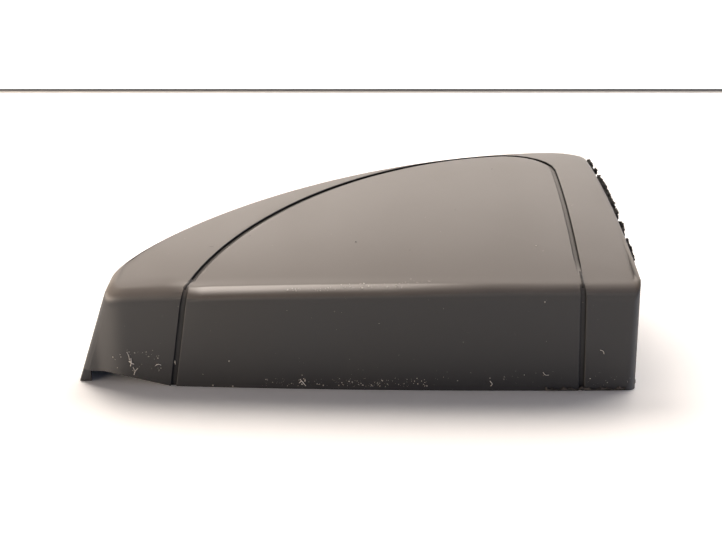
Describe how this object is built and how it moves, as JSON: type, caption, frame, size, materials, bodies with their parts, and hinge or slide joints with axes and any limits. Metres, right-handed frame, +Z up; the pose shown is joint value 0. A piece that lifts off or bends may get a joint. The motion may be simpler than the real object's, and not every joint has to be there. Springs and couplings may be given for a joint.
{
  "type": "wing mirror cover",
  "caption": "Moulded wing mirror cover with an engraved U-shaped groove, drafted walls, a foot beside a rim relief, inner ribs, screw bosses and torn foam seal remnants on its end wall",
  "frame": {"origin": "bottom centre of the bounding box, in the plane of the rim", "axes": "X runs along the cover from its tapered left end to the straight right end wall, Y from the near long wall to the far wall, Z up from the rim to the crest"},
  "size_m": [0.2164, 0.125, 0.0665],
  "materials": {
    "cover": "satin, fine moulded texture, dusty",
    "foam": "torn closed-cell foam, matt"
  },
  "bodies": {
    "root": {"cover": "cover", "seal_strip_long": "foam", "seal_strip_near": "foam", "seal_chip_far": "foam", "seal_chip_small": "foam", "seal_chip_mid": "foam", "seal_residue": "foam", "seal_knob": "foam"}
  },
  "joints": []
}
